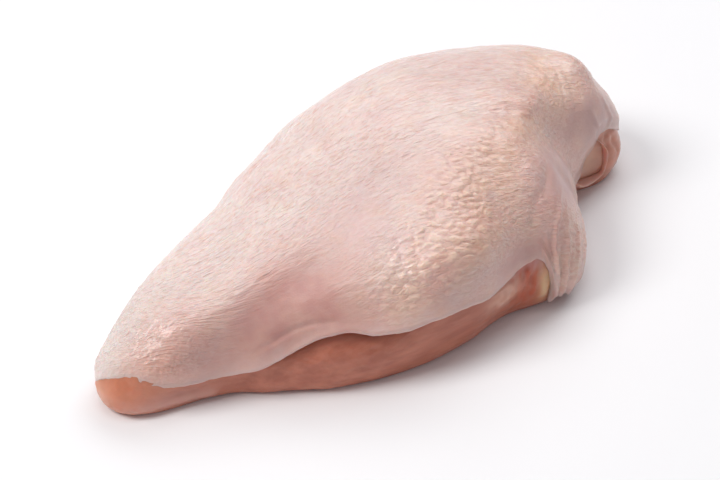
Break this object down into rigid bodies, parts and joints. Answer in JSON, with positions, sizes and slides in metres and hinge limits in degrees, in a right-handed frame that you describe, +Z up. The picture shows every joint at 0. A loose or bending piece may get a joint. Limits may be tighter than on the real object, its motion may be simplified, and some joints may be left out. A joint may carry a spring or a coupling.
{
  "type": "raw chicken breast with skin",
  "caption": "Raw boneless chicken breast lying skin side up: a thick shoulder end tapering to a thin tip, with the flesh showing below the skin's hem.",
  "frame": {"origin": "middle of the footprint's box, on the surface that the breast lies on", "axes": "+X from the thin tip to the thick shoulder end, -Y towards the side where the flesh shows, +Z up"},
  "size_m": [0.1864, 0.0962, 0.0455],
  "materials": {
    "flesh": "moist raw muscle, smooth and slightly translucent",
    "skin": "moist pale pink skin, pebbled, finely wrinkled and slightly translucent",
    "membrane": "wet, thin and milky"
  },
  "bodies": {
    "root": {"breast_meat": "flesh", "breast_skin": "skin", "neck_membrane": "membrane"}
  },
  "joints": []
}
